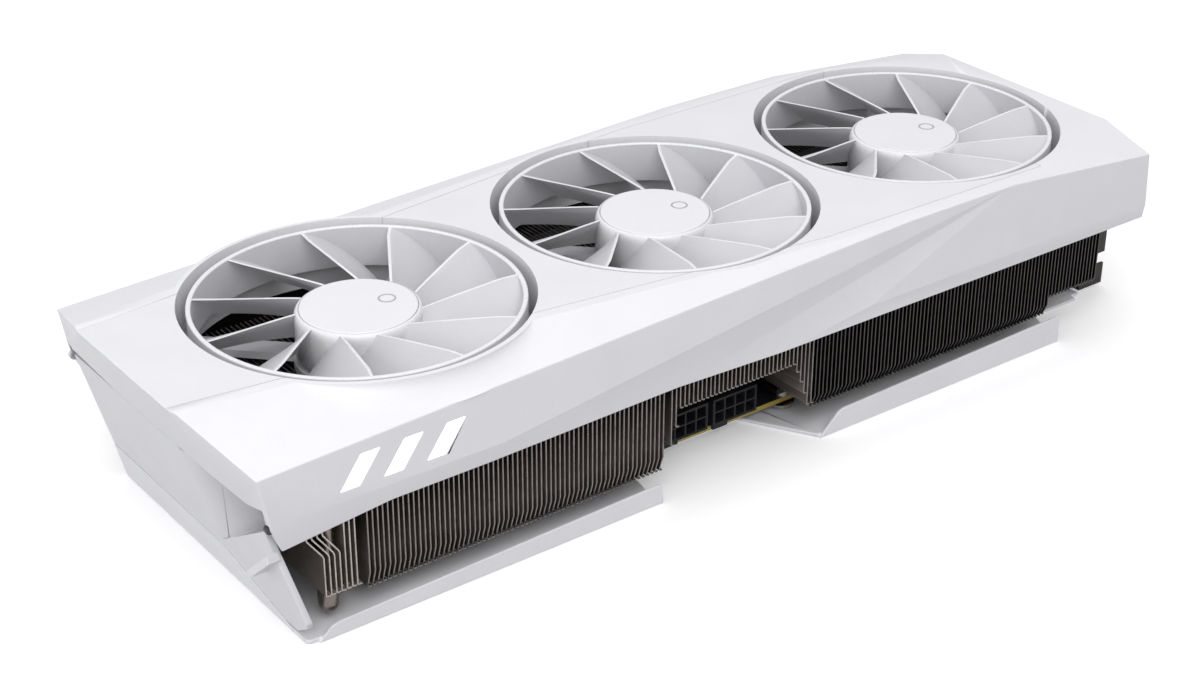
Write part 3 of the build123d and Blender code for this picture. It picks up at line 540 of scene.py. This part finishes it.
def blade_mesh():
    rows = blade_rows()
    nr, nt = len(rows), len(rows[0])
    verts, faces, edge = [], [], []
    top, bot = [], []
    for i in range(nr):
        tr, br = [], []
        for k in range(nt):
            p = rows[i][k]
            du = rows[min(i + 1, nr - 1)][k] - rows[max(i - 1, 0)][k]
            dv = rows[i][min(k + 1, nt - 1)] - rows[i][max(k - 1, 0)]
            n = du.cross(dv)
            n.normalize()
            if n.z < 0:
                n = -n
            back = Vector((-dv.x, -dv.y, 0)).normalized()
            t = min(1.0, k / (nt - 1) / 0.22)
            s = t * t * (3 - 2 * t)
            th = 0.95 - 0.10 * k / (nt - 1)
            off = (back * 0.9) * (1 - s) + (-n * th) * s
            tr.append(len(verts)); verts.append(p)
            br.append(len(verts)); verts.append(p + off)
        top.append(tr); bot.append(br)
    for i in range(nr - 1):
        for k in range(nt - 1):
            faces.append([top[i][k], top[i + 1][k], top[i + 1][k + 1], top[i][k + 1]])
            faces.append([bot[i][k], bot[i][k + 1], bot[i + 1][k + 1], bot[i + 1][k]])
        edge.append(len(faces))
        faces.append([top[i][0], bot[i][0], bot[i + 1][0], top[i + 1][0]])
        faces.append([top[i][-1], top[i + 1][-1], bot[i + 1][-1], bot[i][-1]])
    for i in (0, nr - 1):
        for k in range(nt - 1):
            faces.append([top[i][k], top[i][k + 1], bot[i][k + 1], bot[i][k]])
    return verts, faces, edge


def rounded(points, radius, seg=4):
    """Rounds each corner of a closed (r, z) polygon whose entry has a radius."""
    out = []
    n = len(points)
    for i in range(n):
        p, q, w = Vector(points[i - 1]), Vector(points[i]), Vector(points[(i + 1) % n])
        r = radius[i]
        if r <= 0:
            out.append(tuple(q))
            continue
        d1, d2 = (p - q).normalized(), (w - q).normalized()
        r = min(r, (p - q).length * 0.48, (w - q).length * 0.48)
        a, b = q + d1 * r, q + d2 * r
        for k in range(seg + 1):
            t = k / seg
            out.append(tuple(a * (1 - t) ** 2 + q * 2 * t * (1 - t) + b * t * t))
    return out


def make_rotor(name, x, phase):
    verts, faces, fm = [], [], []

    def put(v, f, rot=0.0, highlight_faces=()):
        base = len(verts)
        fm.extend(1 if k in highlight_faces else 0 for k in range(len(f)))
        c, s = math.cos(rot), math.sin(rot)
        for p in v:
            verts.append(P(x + p[0] * c - p[1] * s, p[0] * s + p[1] * c, p[2]))
        for q in f:
            faces.append([base + i for i in q])

    # the blades' edge strips, the ring's top and the hub's rim take the lighter copy: a painted highlight
    bv, bf, be = blade_mesh()
    for i in range(11):
        put(bv, bf, math.radians(phase + i * 360.0 / 11), set(be))
    ring = rounded([(47.4, 0.0), (48.9, 0.0), (48.9, -13.5), (47.4, -13.5)], [0.45, 0.45, 0.3, 0.3])
    rv, rf = lathe(ring, 180)
    put(rv, rf, 0.0, {k for k, q in enumerate(rf) if min(rv[i][2] for i in q) > -0.5})
    hub = [(0.0, -3.95), (17.32, -3.95), (17.32, -3.35), (17.45, -3.2)]
    for k in range(1, 9):
        t = math.radians(90 * k / 8)
        hub.append((17.45 + 1.35 * math.sin(t), -3.2 - 2.9 * (1 - math.cos(t))))
    hub += [(18.8, -16.6), (18.5, -17.0), (17.2, -17.0), (17.2, -5.0), (0.0, -5.0)]
    hv, hf = lathe(hub, 128)
    put(hv, hf, 0.0, {k for k, q in enumerate(hf) if min(math.hypot(hv[i][0], hv[i][1]) for i in q) > 17.4})
    ob = add_object("rotor_%s_finished" % name, verts, faces, ["fan", "fan_edge_highlight"], fm, sharp=38)
    place(ob, "fan_" + name, "white_fan", "fan_rotor_" + name)
    return ob


for n, x, ph in zip(FAN_NAMES, FAN_X, PHASES):
    make_rotor(n, x, ph)
    # a plain printed ring on each hub disc
    rp = rounded([(2.1, -2.9), (2.75, -2.9), (2.75, -2.84), (2.1, -2.84)], [0.02] * 4, 2)
    v, f = lathe(rp, 48)
    ax, ay = (x + 9.0 * math.cos(math.radians(-7.0)), 9.0 * math.sin(math.radians(-7.0)))
    ob = add_object("hub_mark_" + n, [P(ax + p[0], ay + p[1], p[2]) for p in v], f, ["mark"])
    place(ob, "fan_" + n, "white_fan")


# ----------------------------------------------------------------- shroud
bevel_copy("shroud_shell", 0.3, "shell", segs=3, crease=1.2, flat=None, clamp=False, skip=flush_collar)
bevel_copy("centre_panel", 0.22, "panel", segs=2, crease=1.2)
bevel_copy("tail_frame", 0.3, "frame", segs=3, crease=2.0, flat=None, clamp=False)
bevel_copy("backplate", 0.3, "coated", segs=3, flat=None, clamp=False)
bevel_copy("light_lenses", 0.15, "lens", segs=2)
bevel_copy("power_inlet_tail", 0.16, "nylon", segs=2, flat=None, clamp=False)
bevel_copy("power_inlet_bracket", 0.16, "nylon", segs=2, flat=None, clamp=False)
bevel_copy("io_bracket", 0.15, "bracket", segs=2)
bevel_copy("displayport_sockets", 0.15, "can", segs=2)
bevel_copy("hdmi_socket", 0.15, "can", segs=2)

TOP_Z = 0.85


def slope_z(x, y):
    """Height of the shroud's top faces."""
    def plane(a, b, c):
        a, b, c = Vector(a), Vector(b), Vector(c)
        nn = (b - a).cross(c - a)
        return a.z - (nn.x * (x - a.x) + nn.y * (y - a.y)) / nn.z
    s = -1 if y < 0 else 1
    z1 = plane((-66.7, 59.0 * s, -8.2), (162.7, 59.0 * s, 0.85), (-73.5, 31.0 * s, 0.85))
    return min(TOP_Z, z1)


def collar_fillet(name, x0):
    verts, faces = [], []
    prof = 9
    for s in (-1, 1):
        ring = []
        a0, a1 = (180 + 20, 360 - 4) if s < 0 else (4, 160)
        steps = 120
        for i in range(steps + 1):
            a = math.radians(a0 + (a1 - a0) * i / steps)
            ux, uy = math.cos(a), math.sin(a)
            base = slope_z(x0 + COLLAR_R * ux, COLLAR_R * uy)
            proud = TOP_Z - base
            if proud < 0.12 or abs(COLLAR_R * uy) < 31.5:
                if ring:
                    pass
                ring.append(None)
                continue
            h = min(proud * 0.86, proud - 0.02)
            w = min(6.5, 2.1 * proud)
            pts = []
            for k in range(prof):
                t = math.pi / 2 * k / (prof - 1)
                r = COLLAR_R - 0.06 + (w + 0.06) * (1 - math.cos(t))
                zz = slope_z(x0 + r * ux, r * uy) + h * (1 - math.sin(t)) - (0.02 if k == prof - 1 else 0)
                pts.append(P(x0 + r * ux, r * uy, zz))
            ring.append(pts)
        prev = None
        for pts in ring:
            if pts is None:
                prev = None
                continue
            base = len(verts)
            verts += pts
            if prev is not None:
                for k in range(prof - 1):
                    faces.append([prev + k, prev + k + 1, base + k + 1, base + k])
            prev = base
    if not faces:
        return None
    ob = add_object(name, verts, faces, ["shell"], sharp=60)
    place(ob, "card", "white_moulding")
    return ob


for n, x in zip(FAN_NAMES, FAN_X):
    collar_fillet("collar_fillet_" + n, x)


# a dark sheet closes the hidden far side between the tail frame and the fins: a dark sheet put in as painted shade
gv = [(x, y, z) for x in (-51.0, 30.0) for y in (55.2, 56.0) for z in (-57.0, -21.8)]
gf = [(0, 1, 3, 2), (4, 6, 7, 5), (0, 4, 5, 1), (2, 3, 7, 6), (0, 2, 6, 4), (1, 5, 7, 3)]
shade_sheet = add_object("far_shade_sheet", [P(*v) for v in gv], gf, ["bracket"])
place(shade_sheet, "card", "black_nickel")


# -------------------------------------------------------------------- fins
FIN_T, PITCH, FIN_TOP, FIN_Y = 0.42, 1.64, -22.2, 55.0


class Sheets:
    """Collects many bent sheets in one mesh, edges in a lighter copy of the sheet material: a painted highlight."""

    def __init__(self, mats=("fin", "fin_edge_highlight")):
        self.v, self.f, self.m, self.mats = [], [], [], list(mats)

    def sheet(self, path, yn, yf, t=FIN_T):
        """path: (x, z) centre line from top to bottom; yn, yf: near and far Y at each point."""
        n = len(path)
        base = len(self.v)
        for i, (x, z) in enumerate(path):
            a = path[max(i - 1, 0)]
            b = path[min(i + 1, n - 1)]
            d = Vector((b[0] - a[0], b[1] - a[1])).normalized()
            nx, nz = -d.y * t / 2, d.x * t / 2
            for sgn in (1, -1):
                for y in (yn[i], yf[i]):
                    self.v.append(P(x + nx * sgn, y, z + nz * sgn))
        def ix(i, side, far):
            return base + i * 4 + side * 2 + far
        for i in range(n - 1):
            self.f.append([ix(i, 0, 0), ix(i, 0, 1), ix(i + 1, 0, 1), ix(i + 1, 0, 0)]); self.m.append(0)
            self.f.append([ix(i, 1, 0), ix(i + 1, 1, 0), ix(i + 1, 1, 1), ix(i, 1, 1)]); self.m.append(0)
            self.f.append([ix(i, 0, 0), ix(i + 1, 0, 0), ix(i + 1, 1, 0), ix(i, 1, 0)]); self.m.append(1)
            self.f.append([ix(i, 0, 1), ix(i, 1, 1), ix(i + 1, 1, 1), ix(i + 1, 0, 1)]); self.m.append(1)
        self.f.append([ix(0, 0, 0), ix(0, 1, 0), ix(0, 1, 1), ix(0, 0, 1)]); self.m.append(1)
        self.f.append([ix(n - 1, 0, 0), ix(n - 1, 0, 1), ix(n - 1, 1, 1), ix(n - 1, 1, 0)]); self.m.append(1)

    def slab(self, x0, x1, y0, y1, z0, z1, mat=0):
        b = len(self.v)
        for x in (x0, x1):
            for y in (y0, y1):
                for z in (z0, z1):
                    self.v.append(P(x, y, z))
        for q in ((0, 1, 3, 2), (4, 6, 7, 5), (0, 4, 5, 1), (2, 3, 7, 6), (0, 2, 6, 4), (1, 5, 7, 3)):
            self.f.append([b + i for i in q]); self.m.append(mat)

    def build(self, name, *nodes):
        ob = add_object(name, self.v, self.f, self.mats, self.m, sharp=30)
        place(ob, "card", "black_nickel", *nodes)
        return ob


def near_y(z, prof):
    """Near edge of a fin at height z, from a (y, z) list going down."""
    for (ya, za), (yb, zb) in zip(prof[:-1], prof[1:]):
        if za >= z >= zb:
            return ya + (yb - ya) * (za - z) / (za - zb) if za != zb else yb
    return prof[-1][0] if z < prof[-1][1] else prof[0][0]


def curl(x, z_bot, r=0.75, to=1.25):
    """Centre line points of a foot: down, round a small bend, then level."""
    pts = []
    for k in range(5):
        a = math.pi / 2 * k / 4
        pts.append((x + r * (1 - math.cos(a)), z_bot + r - r * math.sin(a)))
    pts.append((x + to, z_bot))
    return pts


def stack(name, xs, bottoms, prof, y_far, nodes, foot=1.25, tabs=True, r=0.75, mats=("fin", "fin_edge_highlight")):
    s = Sheets(mats)
    for i, (x, zb) in enumerate(zip(xs, bottoms)):
        j = RND.uniform(-0.05, 0.05)
        cxl = x + FIN_T / 2 + j
        zb = zb + FIN_T / 2 + 0.02
        k = RND.uniform(-0.04, 0.04)
        path = [(cxl, FIN_TOP - 0.02)] + [(cxl + k * (i % 2), z) for i, z in enumerate((-30.0, -38.0, -44.0, -48.5, -52.0)) if z > zb + r + 0.6]
        path += curl(cxl, zb, r, foot)
        yn = [near_y(z, prof) for _, z in path]
        yf = [y_far] * len(path)
        s.sheet(path, yn, yf)
        if tabs and i < len(xs) - 1:
            for y in range(-50, int(y_far) - 6, 11):
                s.slab(cxl, cxl + PITCH - 0.1, y, y + 3.6, FIN_TOP - 0.45, FIN_TOP - 0.05, 0)
    return s.build(name, *nodes)


prof_tail = [(-FIN_Y, FIN_TOP), (-FIN_Y, -52.0), (-53.0, -58.2)]
xs_a = [-32.7 + i * PITCH for i in range(63)]
stack("fins_tail_finished", xs_a, [-58.2] * 63, prof_tail, 44.0, ["fin_stack_tail"])
prof_io = [(-FIN_Y, FIN_TOP), (-FIN_Y, -52.0), (-53.0, -56.6)]
xs_c = [129.3 + i * PITCH for i in range(65)]
stack("fins_board_finished", xs_c, [-56.6] * 65, prof_io, 55.0, ["fin_stack_board"], foot=0.9, r=0.5, mats=("fin_shaded", "fin_edge_shaded"))
xs_d = [129.3 + (65 + i) * PITCH for i in range(14)]
prof_end = [(-FIN_Y, FIN_TOP), (-FIN_Y, -48.5), (-53.6, -50.5)]
stack("fins_bracket_finished", xs_d, [-50.5] * 14, prof_end, 55.0, ["fin_stack_bracket"], foot=0.9, r=0.5, mats=("fin_shaded", "fin_edge_shaded"))


def bay_bottom(x):
    if x < 72.5:
        return -49.6
    if x < 74.2:
        return -43.8
    if x < 121.0:
        return -37.8
    if x < 122.7:
        return -41.0
    if x < 124.3:
        return -45.0
    if x < 126.0:
        return -49.5
    return -54.0


xs_all = [71.9 + i * PITCH for i in range(35)]
xs_b = xs_all[:2] + xs_all[31:]
xs_e = xs_all[2:31]
prof_mid = [(-FIN_Y, FIN_TOP), (-FIN_Y, -55.0)]
stack("fins_middle_finished", xs_b, [bay_bottom(x + 0.2) for x in xs_b], prof_mid, 55.0, ["fin_stack_middle"], foot=1.2, tabs=False, r=0.62)
stack("fins_inlets_finished", xs_e, [bay_bottom(x + 0.2) for x in xs_e], prof_mid, 55.0, ["fin_stack_inlets"], foot=1.2, r=0.62)

# cranked fins at the tail and three straight ones, each with its own curled foot
# the cranked fins take the lit copies: painted light on their faces and edges
s = Sheets(("fin_side_lit", "cranked_fin_edge_lit"))
prof_cr = [(-FIN_Y, FIN_TOP), (-FIN_Y, -54.6)]
for i in range(4):
    xu, xl = -51.6 + i * 1.64 + 0.2, -46.6 + i * 1.64 + 0.2
    path = [(xu, FIN_TOP - 0.02), (xu, -33.9), (xu + 0.25, -34.9), (xl - 0.3, -41.2), (xl, -42.2), (xl, -48.0)] + curl(xl, -54.4, 0.5, 1.35)
    s.sheet(path, [near_y(z, prof_cr) for _, z in path], [44.0] * len(path))
for i in range(3):
    xl = -40.0 + i * 1.64 + 0.2
    path = [(xl, FIN_TOP - 0.02), (xl, -40.0), (xl, -48.0)] + curl(xl, -54.4, 0.5, 1.35)
    s.sheet(path, [near_y(z, prof_cr) for _, z in path], [44.0] * len(path))
s.build("fins_cranked_finished", "fin_stack_cranked")


# ---------------------------------------------------------- studio and floor
floor_me = bpy.data.meshes.new("floor")
floor_me.from_pydata([(-6, -6, -0.0002), (6, -6, -0.0002), (6, 6, -0.0002), (-6, 6, -0.0002)], [], [(0, 1, 2, 3)])
floor = bpy.data.objects.new("floor", floor_me)
bpy.context.scene.collection.objects.link(floor)
fm, fnt, fb = new_mat("pale_floor")
fvec = coords(fnt)
fnt.links.new(mixcol(fnt, maprange(fnt, noise(fnt, fvec, 8.0, 2.0), 0, 1), (0.93, 0.93, 0.935), (0.95, 0.95, 0.955)), fb.inputs["Base Color"])
fb.inputs["Roughness"].default_value = 0.9
fb.inputs["Specular IOR Level"].default_value = 0.1
fb.inputs["Emission Color"].default_value = (1, 1, 1, 1)
fb.inputs["Emission Strength"].default_value = 0.20
floor_me.materials.append(fm)
floor.visible_diffuse = False

world = bpy.data.worlds.new("studio")
bpy.context.scene.world = world
world.use_nodes = True
wn = world.node_tree
bg = wn.nodes["Background"]
tc = wn.nodes.new("ShaderNodeTexCoord")
sx = wn.nodes.new("ShaderNodeSeparateXYZ")
wn.links.new(tc.outputs["Generated"], sx.inputs[0])
ramp = wn.nodes.new("ShaderNodeValToRGB")
mr = wn.nodes.new("ShaderNodeMapRange")
mr.inputs["From Min"].default_value = -1.0
mr.inputs["From Max"].default_value = 1.0
wn.links.new(sx.outputs["Z"], mr.inputs["Value"])
wn.links.new(mr.outputs["Result"], ramp.inputs["Fac"])
ramp.color_ramp.elements[0].position = 0.0
ramp.color_ramp.elements[0].color = (0.40, 0.40, 0.41, 1)
ramp.color_ramp.elements[1].position = 1.0
ramp.color_ramp.elements[1].color = (0.70, 0.70, 0.71, 1)
e = ramp.color_ramp.elements.new(0.48)
e.color = (0.50, 0.50, 0.51, 1)
e = ramp.color_ramp.elements.new(0.56)
e.color = (0.40, 0.40, 0.41, 1)
wn.links.new(ramp.outputs["Color"], bg.inputs["Color"])
bg.inputs["Strength"].default_value = 1.0


def area(name, pos, target, size, energy, size_y=None):
    l = bpy.data.lights.new(name, "AREA")
    l.shape = "RECTANGLE"
    l.size = size
    l.size_y = size_y or size
    l.energy = energy
    o = bpy.data.objects.new(name, l)
    o.location = pos
    o.rotation_euler = (Vector(target) - Vector(pos)).to_track_quat("-Z", "Y").to_euler()
    bpy.context.scene.collection.objects.link(o)
    return o


area("key", (-0.5, -0.95, 1.2), (-0.04, 0.0, 0.03), 1.0, 11.6)
area("side", (-1.3, -0.15, 0.42), (-0.15, 0.0, 0.03), 0.8, 3.8)
area("top", (0.1, 0.3, 1.5), (0.0, 0.0, 0.03), 1.5, 5.0)
